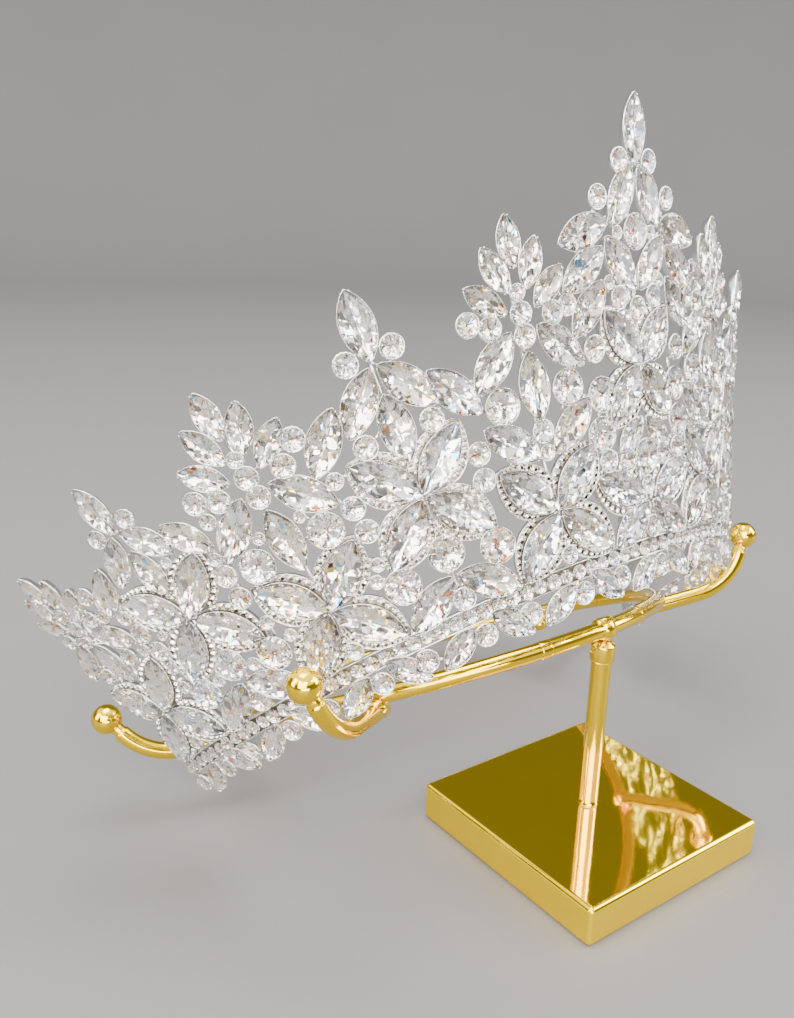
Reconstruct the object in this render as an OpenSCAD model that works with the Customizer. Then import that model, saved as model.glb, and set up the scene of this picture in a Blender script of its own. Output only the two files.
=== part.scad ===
// Crystal crown on its display stand. Millimetres, +Z up, floor at z = 0.
// The crown stands on a tilted wire cradle; its front is over the post.

/* [Base and post] */
// Side of the square base
base_side = 60; // [50:1:80]
// Thickness of the base
base_t = 10; // [6:0.5:14]
// Height of the cradle ring above the base, at the post
post_h = 48.7; // [40:0.1:70]
// Diameter of the post
post_d = 5; // [4:0.1:8]
// Turn of the cradle on the post, in degrees
head_turn = 3.7; // [-10:0.1:10]

/* [Cradle] */
// Radius of the cradle ring, at the middle of its rod
ring_r = 62.3; // [60:0.1:64]
// Diameter of the ring's rod
ring_rod = 4.2; // [3:0.1:5]
// Slope of the ring, down and away from the post, in degrees
ring_tilt = 26.7; // [20:0.1:27]
// Diameter of the hooks' rod
hook_rod = 4.4; // [3:0.1:5]
// Diameter of the ball on each hook
ball_d = 7.8; // [6:0.1:9]
// Angle of the two front hooks, from the post
front_hook = 56.5; // [50:0.5:60]
// Angle of the two rear hooks, from the post
rear_hook = 107; // [104:1:120]

/* [Crown] */
// Radius of the crown at its rhinestone band
crown_r = 84; // [83:0.5:86]
// Outward flare of the wall, in degrees
flare = 27.2; // [24:0.2:30]
// Extra outward curl of the wall, per square metre of slant height
curl = 0.95; // [0:0.05:1.5]
// Angle from one column of stones to the next, in degrees
pitch = 16.9; // [16.8:0.1:17.4]
// How much further back than the ring the crown leans, in degrees
crown_tip = 15.3; // [12:0.1:17]

/* [Stones] */
// Length of a large navette, a petal too
navette_l = 14; // [12:0.1:14.2]
// Width of a large navette
navette_w = 6.6; // [5.5:0.1:6.8]
// Length of a small navette
leaf_l = 10; // [8:0.1:10.2]
// Width of a small navette
leaf_w = 4.6; // [4:0.1:4.8]
// Diameter of a large round
round_d = 7.2; // [6:0.1:7.4]
// Diameter of a small round
dot_d = 4.2; // [3.5:0.1:4.4]
// Height of a large stone above its setting
stone_h = 3; // [2:0.1:3.5]
// Metal that shows around each stone
rim = 0.5; // [0.3:0.05:0.6]

/* [Hidden] */
$fn = 48;
gold = [0.86, 0.68, 0.25];
silver = [0.80, 0.80, 0.82];
crystal = [0.88, 0.93, 0.98];
plate_t = 1.2;
gap = 0.18;
knuckle_d = 5.6;

// Charts of one column of stones. Each row is one stone:
// [sideways from the column's middle, height up the wall, lean, kind]
// Sideways is + towards the crown's front; lean is + with the top that way.
// Kinds: 0 petal, 1 large navette, 2 small navette, 3 large round, 4 small
// round, 5 the setting of a small round whose stone is not built here.
peak_chart = [
  [0, 62, 0, 1], [-4.9, 56.2, 0, 4], [4.9, 56.2, 0, 4],
  [-5.2, 48.5, 38, 1], [5.2, 48.5, -38, 1], [0, 41.4, 0, 1],
  [13.5, 43.8, -36, 1], [-14.6, 44.5, 39, 1]];
peak_dots = [[-7.2, 40.3, 0, 4], [7.2, 40.3, 0, 4]];
peak_heart = [
  [0, 13.9, 0, 3], [-10.7, 11.2, 0, 3], [10.7, 11.2, 0, 3],
  [-6.5, 4.9, 57, 1], [6.5, 4.9, -57, 1]];
spray_chart = [
  [0, 68, 0, 2], [-4.3, 63.4, -22, 2], [4.3, 63.4, 22, 2],
  [-7.6, 58.3, -48, 2], [7.6, 58.3, 48, 2],
  [0, 58.4, 0, 5], [0, 54.3, 0, 5], [0, 49.9, 0, 5],
  [-7.6, 53, 0, 4], [7.6, 53, 0, 4], [-12.2, 55, 0, 4],
  [-8.2, 46.4, 46, 1], [8.2, 46.4, -46, 1], [0, 39.8, 0, 1],
  [-8.1, 37.8, 0, 3], [8.1, 37.8, 0, 3]];
low_chart = [
  [0, 52.6, 0, 2], [-3.8, 48.9, -22, 2], [3.8, 48.9, 22, 2],
  [-6.4, 44.7, -48, 2], [6.4, 44.7, 48, 2],
  [0, 44.6, 0, 5], [0, 40.6, 0, 5], [-6.7, 39.9, 0, 4], [6.7, 39.9, 0, 4],
  [-7.9, 33.6, 50, 1], [7.9, 33.6, -50, 1], [0, 29.6, 0, 1]];
tall_fill = [[-7.5, 29.9, -50, 1], [7.5, 29.9, 50, 1]];
front_chart = [
  [0, 86.4, 0, 1], [-5, 80.4, 0, 4], [5, 80.4, 0, 4],
  [-4.6, 73.8, 27, 1], [4.6, 73.8, -27, 1], [0, 66.6, 0, 3],
  [-11.8, 73.6, 0, 4], [11.8, 73.6, 0, 4],
  [-16.2, 67.3, 76, 1], [16.2, 67.3, -76, 1],
  [-5.2, 60.4, -38, 1], [5.2, 60.4, 38, 1],
  [-16.4, 60, 58, 1], [16.4, 60, -58, 1],
  [-15.3, 52.3, 44, 1], [15.3, 52.3, -44, 1],
  [-12.9, 34.5, 0, 3], [12.9, 34.5, 0, 3], [-13.6, 26.2, 0, 3], [13.6, 26.2, 0, 3],
  [-4.6, 24.5, 50, 2], [4.6, 24.5, -50, 2], [0, 19.4, 0, 3],
  [-6.5, 4.9, 57, 1], [6.5, 4.9, -57, 1]];
fan_row = [[-4.7, -6.3, 56, 2], [7.8, -5.7, -44, 2]];

// Four petals round a hub: [sideways, height, lean, kind]
function flower(s, reach, open) = [for (a = [open, 180 - open, 180 + open, -open])
    [reach * sin(a), s + reach * cos(a), a > 90 ? a - 180 : a, 0]];
// Each column: [number from the front, chart, lift of its crest, squeeze of
// its crest, size of the crest's stones]. Chart 0 peak, 1 spray, 2 front, 3 low.
columns = [
  [0, 2, 0, 1, 1], [1, 1, 0, 1, 1], [2, 0, 0, 1, 1], [3, 1, -8.9, 1, 1],
  [4, 0, -0.5, 0.8, 0.85], [5, 3, 0, 1, 0.85]];
function crest(chart, base, lift, squeeze, size) =
    [for (r = chart) [r[0] * (squeeze < 1 ? 0.94 : 1), base + (r[1] - base) * squeeze + lift, r[2], r[3], size]];
function plain(chart) = [for (r = chart) [r[0], r[1], r[2], r[3], 1]];
function stones_of(c) = concat(
    c[1] == 0 ? concat(crest(peak_chart, 34, c[2], c[3], c[4]), plain(peak_heart), plain(flower(26.6, 8.8, 45)),
        c[0] == 2 ? plain(peak_dots) : []) :
    c[1] == 1 ? concat(crest(spray_chart, 24, c[2], c[3], c[4]), plain(flower(13.2, 8.8, 45)),
        c[0] == 1 ? concat(plain(tall_fill), [[11.7, 53.9, 0, 4, 0.9]]) : [[12, 47.9, 0, 4, 1]]) :
    c[1] == 3 ? concat(crest(low_chart, 24, 0, 1, c[4]), plain(flower(13.2, 8.8, 45))) :
    concat(plain(front_chart), plain(flower(39.4, 8.3, 41)),
        [[-8.8, 13.4, -64, 0, 1], [8.8, 13.4, 64, 0, 1]]),
    plain(fan_row));
// Both halves of the crown: [angle round the crown, row of the chart]
placed = [for (c = columns) for (side = c[0] == 0 ? [1] : [1, -1]) for (r = stones_of(c))
    [-side * c[0] * pitch + side * deg_at(r[0], r[1]), r[1], side * r[2], r[3], r[4]]];
// Bars behind a column: [sideways, height, lean, length]
peak_bars = [[0, 56.3, 0, 10], [0, 48.5, 0, 12]];
spray_bars = [[0, 63.4, 0, 9], [0, 55.6, 0, 16], [0, 46.2, 0, 24], [0, 37.6, 0, 17]];
front_bars = [[0, 74.3, 0, 24]];
low_bars = [[0, 48.9, 0, 8], [0, 42.3, 0, 13], [0, 34.4, 0, 17]];
function bars_of(c) = concat(
    [for (r = c[1] == 0 ? peak_bars : c[1] == 1 ? spray_bars : c[1] == 2 ? front_bars : low_bars)
      let (base = c[1] == 0 ? 34 : 24) [r[0], base + (r[1] - base) * c[3] + c[2], r[2], r[3]]],
    c[0] == 1 ? [[0, 30.3, 0, 15]] : []);
function deg_at(u, s) = u / wall_r(s) * 180 / PI;
function wall_r(s) = crown_r + s * sin(flare) + curl * s * s / 1000;
function wall_h(s) = s * cos(flare);
function slope(s) = atan2(sin(flare) + 2 * curl * s / 1000, cos(flare));

// Outlines, lying in X and Y with their length along Y
function navette(l, w, cuts) = concat(
    [for (i = [0 : cuts]) let (t = 1 - 2 * i / cuts) [w / 2 * (1 - t * t), t * l / 2]],
    [for (i = [1 : cuts - 1]) let (t = -1 + 2 * i / cuts) [-w / 2 * (1 - t * t), t * l / 2]]);
function disc(d, sides) = [for (i = [0 : sides - 1]) let (a = -360 * (i + 0.5) / sides) d / 2 * [cos(a), sin(a)]];
function outline(kind, size, grow, cuts, sides) =
    kind == 0 || kind == 1 ? navette(navette_l * size + 2 * grow, navette_w * size + 2 * grow, cuts) :
    kind == 2 ? navette(leaf_l * size + 2 * grow, leaf_w * size + 2 * grow, cuts) :
    kind == 3 ? disc(round_d * size + 2 * grow, sides) : disc(dot_d * size + 2 * grow, sides);

// A point on the wall: X sideways, Z up the wall, -Y out of it
module on_wall(angle, s, lean) {
  rotate([0, 0, angle]) translate([0, -wall_r(s), wall_h(s)])
    rotate([slope(s), 0, 0]) rotate([0, lean, 0]) children();
}
module crown_place() {
  translate([0, 0, base_t + post_h]) rotate([0, 0, head_turn]) rotate([-ring_tilt, 0, 0])
    translate([0, ring_r - 2.2, -3.8]) rotate([-crown_tip, 0, 0]) children();
}
module ring_place() {
  translate([0, 0, base_t + post_h]) rotate([0, 0, head_turn]) rotate([-ring_tilt, 0, 0])
    translate([0, ring_r, 0]) children();
}
// A cut stone with a flat table, on a flat foot
module cut_stone(kind, size) {
  foot = outline(kind, size, 0, 4, 8);
  n = len(foot);
  h = kind < 2 ? stone_h * size : 2.2 * size;
  points = concat([for (p = foot) [p[0], -gap, p[1]]],
                  [for (p = foot) [0.56 * p[0], -gap - h, 0.56 * p[1]]]);
  faces = concat([[for (i = [0 : n - 1]) n - 1 - i]], [[for (i = [0 : n - 1]) n + i]],
      [for (i = [0 : n - 1]) [i, (i + 1) % n, n + (i + 1) % n, n + i]]);
  polyhedron(points, faces);
}
module cut_round(size, d, h) {
  rotate([90, 22.5, 0]) translate([0, 0, gap])
    cylinder(d1 = d * size, d2 = 0.56 * d * size, h = h * size, $fn = 8);
}
module stone_field(kind) {
  crown_place() for (p = placed) if (p[3] == kind) on_wall(p[0], p[1], p[2])
    if (kind == 3) cut_round(p[4], round_d, 2.8);
    else if (kind == 4) cut_round(p[4], dot_d, 1.8);
    else cut_stone(kind, p[4]);
}
module setting(kind, size) {
  grow = kind == 0 ? 1.8 : rim;
  sunk = [0, 0.11, 0.22, 0.33, 0.17, 0.27][kind];
  rotate([90, 0, 0]) translate([0, 0, -plate_t - 0.6 * sunk]) linear_extrude(plate_t - 0.4 * sunk)
    polygon(outline(kind, size, grow, 3, 6));
}
// A bar of metal behind the settings, along the wall and round or across it
module bar(angle, s, lean, length) {
  on_wall(angle, s, lean) translate([-length / 2, 0.5, -0.6]) cube([length, 1.2, 1.2]);
}
// The band's strip of metal, in short straight lengths round the wall. Every other length is a little
// smaller, so that it ends inside its neighbours
module band(low, high, from, to, steps) {
  for (i = [0 : steps - 1]) {
    inset = i % 2 == 0 ? 0 : 0.08;
    length = wall_r(high) * (to - from) / steps * PI / 180 + 0.6;
    on_wall(from + (to - from) * (i + 0.5) / steps, (low + high) / 2, 0)
      translate([-length / 2, 0.06 + inset / 2, (low - high) / 2 + inset])
        cube([length, 1.5 - inset, high - low - 2 * inset]);
  }
}

module base_plate() {
  color(gold) union() {
    translate([-base_side / 2, -base_side / 2, 0.6]) cube([base_side, base_side, base_t - 1.2]);
    translate([-base_side / 2 + 0.6, -base_side / 2 + 0.6, 0]) cube([base_side - 1.2, base_side - 1.2, base_t]);
  }
}
module post() {
  color(gold) difference() {
    union() {
      translate([0, 0, base_t + 0.05]) cylinder(d = post_d + 0.4, h = 0.8);
      translate([0, 0, base_t + 0.4]) cylinder(d = post_d, h = post_h - 6);
      translate([0, 0, base_t + post_h - 8]) cylinder(d = post_d + 1.2, h = 8);
    }
    translate([0, 0, base_t + post_h]) rotate([0, 0, head_turn]) rotate([-ring_tilt, 0, 0])
      translate([-10, -10, -knuckle_d / 2 - 0.12]) cube([20, 20, 20]);
  }
}
module hook(angle) {
  bend_r = 18;
  bend_a = 58;
  flat_end = ring_r + 15.3;
  rotate([0, 0, angle - 90]) translate([0, 0, -ring_rod / 2 - hook_rod / 2 + 0.6]) {
    translate([ring_r - 3.2, 0, 0]) sphere(d = hook_rod + 0.2);
    translate([ring_r - 3.2, 0, 0]) rotate([0, 90, 0]) cylinder(d = hook_rod, h = flat_end - ring_r + 3.22);
    translate([flat_end, 0, bend_r]) rotate([90, 0, 0]) rotate([0, 0, -90])
      rotate_extrude(angle = bend_a) translate([bend_r, 0]) circle(d = hook_rod);
    translate([flat_end + bend_r * sin(bend_a), 0, bend_r * (1 - cos(bend_a))]) rotate([0, 90 - bend_a, 0]) {
      translate([0, 0, -1]) cylinder(d = hook_rod * 0.8, h = 5);
      translate([0, 0, 5.6]) sphere(d = ball_d);
    }
  }
}
module cradle() {
  color(gold) ring_place() union() {
    rotate_extrude($fn = 96) translate([ring_r, 0]) circle(d = ring_rod);
    translate([0, -ring_r, 0]) sphere(d = knuckle_d);
    for (a = [front_hook, -front_hook, rear_hook, -rear_hook]) hook(a);
  }
}
module crown_frame() {
  last = 5.5 * pitch;
  color(silver) crown_place() union() {
    for (p = placed) if (p[3] < 6) on_wall(p[0], p[1], p[2]) setting(p[3], p[4]);
    band(-3.9, 1.6, -last, last, 22);
    for (c = columns) for (side = c[0] == 0 ? [1] : [1, -1]) {
      a = -side * c[0] * pitch;
      top = c[1] == 0 ? 34 + 25 * c[3] + c[2] : c[1] == 1 ? 66 + c[2] : c[1] == 2 ? 84 : 51;
      bar(a, top / 4, 90, top / 2 + 1);
      bar(a, top * 3 / 4, 90, top / 2 + 1);
      for (r = bars_of(c)) bar(a + side * deg_at(r[0], r[1]), r[1], side * r[2], r[3]);
    }
  }
}
module petal_stones() { color(crystal) stone_field(0); }
module navette_stones() { color(crystal) stone_field(1); }
module leaf_stones() { color(crystal) stone_field(2); }
module round_stones() { color(crystal) stone_field(3); }
module dot_stones() { color(crystal) stone_field(4); }

base_plate();
post();
cradle();
crown_frame();
petal_stones();
navette_stones();
leaf_stones();
round_stones();
dot_stones();
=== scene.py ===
"""Looks of a crystal crown on its gilt display stand.

The object's sizes are in millimetres. The room, its lights and the camera are in metres.
"""
import bpy
import bmesh
import math
import random
from mathutils import Matrix, Vector
from mathutils.kdtree import KDTree


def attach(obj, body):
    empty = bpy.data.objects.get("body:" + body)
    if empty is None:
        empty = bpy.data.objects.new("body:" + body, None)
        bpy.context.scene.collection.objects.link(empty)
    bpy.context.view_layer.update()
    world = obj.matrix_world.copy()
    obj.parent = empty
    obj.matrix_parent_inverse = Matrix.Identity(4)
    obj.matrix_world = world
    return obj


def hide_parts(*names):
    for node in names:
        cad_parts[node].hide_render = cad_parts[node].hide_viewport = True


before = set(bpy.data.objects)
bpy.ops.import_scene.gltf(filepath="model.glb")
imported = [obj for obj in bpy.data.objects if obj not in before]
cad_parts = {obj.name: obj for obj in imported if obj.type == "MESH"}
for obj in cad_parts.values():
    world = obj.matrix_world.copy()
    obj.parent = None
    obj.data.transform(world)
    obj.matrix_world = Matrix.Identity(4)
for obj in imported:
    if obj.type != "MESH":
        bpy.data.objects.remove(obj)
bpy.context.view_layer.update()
MM = 0.001
PI = math.pi

# -------- sizes, as in the part's source
BASE_SIDE, BASE_T = 60.0, 10.0
# the post, which ends POST_GAP under the middle of the ring's rod, then the turn of its head, and the
# ring's tilt, radius and rod
POST_H, POST_D, POST_GAP = 48.7, 5.0, 3.2
HEAD_TURN, RING_TILT, RING_R, RING_ROD = 3.7, 26.7, 62.3, 4.2
# the hooks: their rod and ball, the stub inside the ring, the straight run outside it, the bow's radius
# and angle, and the way from the bow to the ball
HOOK_ROD, BALL_D = 4.4, 7.8
HOOK_STUB, HOOK_FLAT, HOOK_BOW_R, HOOK_BOW, HOOK_NECK = 3.2, 15.3, 18.0, 58.0, 5.6
HOOKS = (56.5, -56.5, 107.0, -107.0)
# the crown: its radius at the band, its wall's flare and curl, the angle from column to column, its tip
# from the ring's plane, and its middle's way towards the post and down from the ring's
CROWN_R, FLARE, CURL, PITCH, CROWN_TIP = 84.0, 27.2, 0.95, 16.9, 15.3
CROWN_NEARER, CROWN_DROP = 2.2, 3.8
NAVETTE_L, NAVETTE_W = 14.7, 7.2
PETAL_L, PETAL_W = 16.1, 7.8
LEAF_L, LEAF_W = 10.8, 5.5
ROUND_D, DOT_D, BEAD_D, TINY_D = 7.7, 4.8, 4.7, 3.2
# in a stone's own frame: the height of its widest line, and of the back of its setting
GIRDLE, BACK = 1.15, -1.05

# -------- sizes of what only the scene has
# how far a setting's lip stands outside its stone, and the same for the small rounds
RIM, SMALL_RIM = 0.16, 0.34
# a petal's pave border: its width beside the stone and at its tip, its floor, and its largest chip
BORDER_SIDE, BORDER_TIP, BORDER_FLOOR, CHIP_D = 2.0, 0.85, 0.35, 1.75
# the band: its lower and upper edge up the wall, the angle where it ends, and its row of round stones
BAND_LOW, BAND_HIGH, BAND_END, BAND_STONE_D, BAND_STONES = -2.95, 0.95, 5.5 * PITCH + 0.6, 3.3, 83
# the radii of the band's rails, of the links between settings, and of the wire behind each column, with
# the height that each column's wire reaches
RAIL_R, LINK_R, SPINE_R, SPINE_TOPS = 0.2, 0.42, 0.55, (80, 62, 56, 53, 49, 46)
# links join settings whose centres are this near, and whose rims are this far apart
LINK_REACH, LINK_LEAST, LINK_MOST = 17, 0.15, 2.6
# the search for closed gaps: its steps round and up the wall, where it starts and stops, and the front
# column's half width and the side columns' start
GAP_STEP_A, GAP_STEP_S, GAP_LOW, GAP_TOP, GAP_SIDE = 0.55, 0.8, 2.5, 72, 93
FRONT_HALF, SIDES_FROM = 0.62 * PITCH, 2.5 * PITCH
# a gap's free radius asks for a bead from the least to the most, and the front column has wider ones
# below FRONT_WIDE
GAP_LEAST, GAP_MOST, GAP_MOST_FRONT, FRONT_WIDE = 1.3, 3.1, 4.4, 54
# a brilliant cut, as shares of the stone's half width: the outer points of the stars, the pavilion's
# mains and the small facets round its tip, which lie at a share of the depth
FOLDS, STARS, MAINS, TIP, TIP_DEEP = 8, 0.77, 0.4, 0.17, 0.83

# -------- charts of the crown's columns
# a row for each stone: [sideways, height up the wall, lean, kind]
PETAL, NAVETTE, LEAF, ROUND, DOT, BEAD, TINY = range(7)


def both(u, s, lean, kind):
    """A stone on each side of the column's middle."""
    return [[-u, s, lean, kind], [u, s, -lean, kind]]


PEAK = [
    [0, 62, 0, NAVETTE], *both(4.9, 56.2, 0, DOT), *both(5.2, 48.5, 38, NAVETTE),
    [0, 41.4, 0, NAVETTE], [13.5, 43.8, -36, NAVETTE], [-14.6, 44.5, 39, NAVETTE]]
PEAK_DOTS = both(7.2, 40.3, 0, DOT)
PEAK_HEART = [
    [0, 13.9, 0, ROUND], *both(10.7, 11.2, 0, ROUND), *both(6.5, 4.9, 57, NAVETTE),
    [-14, 30.4, 0, BEAD], [13.8, 30.4, 0, BEAD], [-13.2, 25, 0, BEAD], [13, 25, 0, BEAD],
    [0, 3.4, 0, BEAD]]
SPRAY = [
    [0, 68, 0, LEAF], *both(4.3, 63.4, -22, LEAF), *both(7.6, 58.3, -48, LEAF), [0, 58.4, 0, TINY],
    [0, 54.3, 0, BEAD], [0, 49.9, 0, BEAD], *both(7.6, 53, 0, DOT), [-12.2, 55, 0, DOT],
    *both(8.2, 46.4, 46, NAVETTE), [0, 39.8, 0, NAVETTE], *both(8.1, 37.8, 0, ROUND)]
LOW = [
    [0, 52.6, 0, LEAF], *both(3.8, 48.9, -22, LEAF), *both(6.4, 44.7, -48, LEAF), [0, 44.6, 0, BEAD],
    [0, 40.6, 0, BEAD], *both(6.7, 39.9, 0, DOT), *both(7.9, 33.6, 50, NAVETTE), [0, 29.6, 0, NAVETTE]]
TALL_FILL = [*both(7.5, 29.9, -50, NAVETTE), [0, 30.4, 0, BEAD], [0, 25.9, 0, TINY]]
FRONT = [
    [0, 86.4, 0, NAVETTE], *both(5, 80.4, 0, DOT), *both(4.6, 73.8, 27, NAVETTE), [0, 66.6, 0, ROUND],
    *both(11.8, 73.6, 0, DOT), *both(16.2, 67.3, 76, NAVETTE), *both(5.2, 60.4, -38, NAVETTE),
    *both(16.4, 60, 58, NAVETTE), *both(15.3, 52.3, 44, NAVETTE), *both(5.9, 53.6, 0, BEAD),
    [0, 51.2, 0, BEAD], *both(12.9, 34.5, 0, ROUND), *both(13.6, 26.2, 0, ROUND),
    *both(4.6, 24.5, 50, LEAF), [0, 19.4, 0, ROUND], *both(12.2, 20.2, 0, BEAD),
    *both(6.2, 19.3, 0, BEAD), *both(6.5, 4.9, 57, NAVETTE), [0, 3.4, 0, BEAD]]
FANS = [[-4.7, -6.3, 56, LEAF], [7.8, -5.7, -44, LEAF], [1.5, -5.9, 0, BEAD], [-11.9, -5.6, 0, BEAD]]


def flower(s, reach, opening):
    """Four petals round a hub, each with its outer end away from the hub."""
    return [[reach * math.sin(math.radians(a)), s + reach * math.cos(math.radians(a)), a, PETAL]
            for a in (opening, 180 - opening, 180 + opening, -opening)]


def crest(rows, base, lift, squeeze, size):
    """A crest's rows, squeezed towards their base and lifted."""
    side = 0.94 if squeeze < 1 else 1.0
    return [[u * side, base + (s - base) * squeeze + lift, lean, kind, size] for u, s, lean, kind in rows]


def plain(rows):
    """Rows as they are, at full size."""
    return [row + [1.0] for row in rows]


def column_stones(number):
    """Every stone of one column, counted from the crown's front: [sideways, height, lean, kind, size]."""
    if number == 0:
        rows = plain(FRONT + flower(39.4, 8.0, 41) + both(8.8, 13.4, -64, PETAL))
    elif number == 2:
        rows = crest(PEAK, 34, 0, 1, 1) + plain(PEAK_HEART + flower(26.6, 8.4, 45) + PEAK_DOTS)
    elif number == 4:
        rows = crest(PEAK, 34, -0.5, 0.8, 0.85) + plain(PEAK_HEART + flower(26.6, 8.4, 45))
    elif number == 1:
        rows = crest(SPRAY, 24, 0, 1, 1) + plain(flower(13.2, 8.4, 45) + TALL_FILL)
        rows += [[11.7, 53.9, 0, DOT, 0.9], [0, 3.4, 0, TINY, 1.1]]
    elif number == 3:
        rows = crest(SPRAY, 24, -8.9, 1, 1) + plain(flower(13.2, 8.4, 45))
        rows += [[12, 47.9, 0, DOT, 1], [0, 3.4, 0, TINY, 1.1]]
    else:
        rows = crest(LOW, 24, 0, 1, 0.85) + plain(flower(13.2, 8.4, 45)) + [[0, 3.4, 0, TINY, 1.1]]
    return rows + plain(FANS)


def wall_r(s):
    """The wall's radius at s up it: it flares, and curls out towards its top."""
    return CROWN_R + s * math.sin(math.radians(FLARE)) + CURL * s * s / 1000


def turn(axis, degrees):
    return Matrix.Rotation(math.radians(degrees), 4, axis)


def shift(x, y, z):
    return Matrix.Translation((x, y, z))


STAND_HEAD = shift(0, 0, BASE_T + POST_H) @ turn("Z", HEAD_TURN) @ turn("X", -RING_TILT)
CROWN_PLACE = STAND_HEAD @ shift(0, RING_R - CROWN_NEARER, -CROWN_DROP) @ turn("X", -CROWN_TIP)
RING_PLACE = STAND_HEAD @ shift(0, RING_R, 0)


def on_wall(angle, s, lean=0.0):
    """A place on the crown's wall: X sideways, Y up the wall, Z out of it."""
    flare = math.radians(FLARE)
    slope = math.degrees(math.atan2(math.sin(flare) + 2 * CURL * s / 1000, math.cos(flare)))
    return (CROWN_PLACE @ turn("Z", angle) @ shift(0, -wall_r(s), s * math.cos(flare)) @ turn("X", slope)
            @ turn("Y", lean) @ turn("X", 90))


def columns():
    """(number, side) of every column: the front one, then the others on both sides."""
    return [(0, 1)] + [(number, side) for number in range(1, 6) for side in (1, -1)]


def charted_places():
    """(matrix, kind, size) of every stone in the charts."""
    places = []
    for number, side in columns():
        for u, s, lean, kind, size in column_stones(number):
            angle = -side * number * PITCH + side * math.degrees(u / wall_r(s))
            places.append((on_wall(angle, s, side * lean), kind, size))
    return places


def within(spot, stone):
    """Whether a spot, in the stone's own frame, lies inside the stone's rim."""
    _, kind, size = stone
    width, length = CUTS[kind][0] * size, CUTS[kind][1] * size
    if kind == PETAL:
        width, length = width + 2 * BORDER_SIDE, length + 2 * BORDER_TIP
    return (2 * spot.x / width) ** 2 + (2 * spot.y / length) ** 2 < 1


def kd_tree(points):
    tree = KDTree(len(points))
    for i, point in enumerate(points):
        tree.insert(point, i)
    tree.balance()
    return tree


def free_spots(places, edges):
    """{(row, column): (free radius, place)} of a grid over the wall, where no stone and no rim is near."""
    near_rim = kd_tree([p for loop in edges for p in loop])
    near_stone = kd_tree([m.to_translation() for m, _, _ in places])
    back = [m.inverted() for m, _, _ in places]
    stone_reach = (PETAL_L + 2 * BORDER_TIP) / 2 + 0.6
    free = {}
    for r in range(int(GAP_TOP / GAP_STEP_S)):
        for c in range(int(2 * GAP_SIDE / GAP_STEP_A) + 1):
            angle = c * GAP_STEP_A - GAP_SIDE
            if FRONT_HALF < abs(angle) < SIDES_FROM:
                continue
            place = on_wall(angle, GAP_LOW + r * GAP_STEP_S)
            spot = place.to_translation()
            far = near_rim.find(spot)[2]
            stones = near_stone.find_range(spot, stone_reach)
            if far > GAP_LEAST and not any(within(back[i] @ spot, places[i]) for _, i, _ in stones):
                free[r, c] = (far, place)
    return free


def filler_places(places, edges):
    """Beads for the closed gaps of the front and the side columns, one at each spot that is furthest from
    all the rims round it, the widest gaps first."""
    free = free_spots(places, edges)
    last_r, last_c = int(GAP_TOP / GAP_STEP_S) - 1, int(2 * GAP_SIDE / GAP_STEP_A)
    picked = []
    for (r, c), (far, place) in sorted(free.items(), key=lambda e: -e[1][0]):
        around = [free.get((r + i, c + j), (0,))[0] for i in (-1, 0, 1) for j in (-1, 0, 1)]
        in_front = abs(c * GAP_STEP_A - GAP_SIDE) < FRONT_HALF and r * GAP_STEP_S < FRONT_WIDE
        most = GAP_MOST_FRONT if in_front else GAP_MOST
        if max(around) <= far < most and 0 < r < last_r and 0 < c < last_c:
            spot = place.to_translation()
            if all((spot - q.to_translation()).length > far + f - 0.2 for f, q in picked):
                picked.append((far, place))
    beads = []
    for far, place in picked:
        kind, wide = (BEAD, BEAD_D + 0.5) if far > 1.9 else (TINY, TINY_D + 0.5)
        beads.append((place, kind, min(1.15, far * 2 / wide)))
    return beads


# -------- small helpers
def linear(hex_colour):
    """sRGB hex to the linear colour that Blender works in."""
    parts = [int(hex_colour[i:i + 2], 16) / 255 for i in (1, 3, 5)]
    return tuple(c / 12.92 if c <= 0.04045 else ((c + 0.055) / 1.055) ** 2.4 for c in parts) + (1.0,)


def fill(tree, node, inputs):
    """Gives a node's sockets their values and links. A hex colour is turned linear, and a node stands
    for its first output."""
    for key, value in inputs.items():
        if isinstance(value, bpy.types.Node):
            value = value.outputs[0]
        if isinstance(value, bpy.types.NodeSocket):
            tree.links.new(value, node.inputs[key])
        elif isinstance(value, str) and value.startswith("#"):
            node.inputs[key].default_value = linear(value)
        else:
            node.inputs[key].default_value = value


def add(tree, kind, inputs=None, ramp=None, **settings):
    """Adds a node with its settings, values and links. A ramp is (interpolation, [(from, hex colour)])."""
    node = tree.nodes.new(kind)
    for key, value in settings.items():
        setattr(node, key, value)
    fill(tree, node, inputs or {})
    if ramp:
        steps = node.color_ramp
        steps.interpolation = ramp[0]
        while len(steps.elements) < len(ramp[1]):
            steps.elements.new(1.0)
        for element, (at, colour) in zip(steps.elements, ramp[1]):
            element.position = at
            element.color = linear(colour)
    return node


def per_mm(count):
    """The Scale of a pattern with this many features to a millimetre, in coordinates in metres."""
    return count / MM


def new_material(name):
    material = bpy.data.materials.new(name)
    material.use_nodes = True
    tree = material.node_tree
    tree.nodes.clear()
    shader = add(tree, "ShaderNodeBsdfPrincipled")
    add(tree, "ShaderNodeOutputMaterial", {"Surface": shader})
    return material, tree, shader


def link(item):
    bpy.context.scene.collection.objects.link(item)
    return item


def make_object(name, mesh, *materials):
    for material in materials:
        mesh.materials.append(material)
    return link(bpy.data.objects.new(name, mesh))


def discard(item):
    """Removes an object and its mesh."""
    mesh = item.data
    bpy.data.objects.remove(item)
    bpy.data.meshes.remove(mesh)


def finish_piece(item, slot, *replaced):
    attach(item, "root")
    if replaced:
        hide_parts(*replaced)


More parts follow.
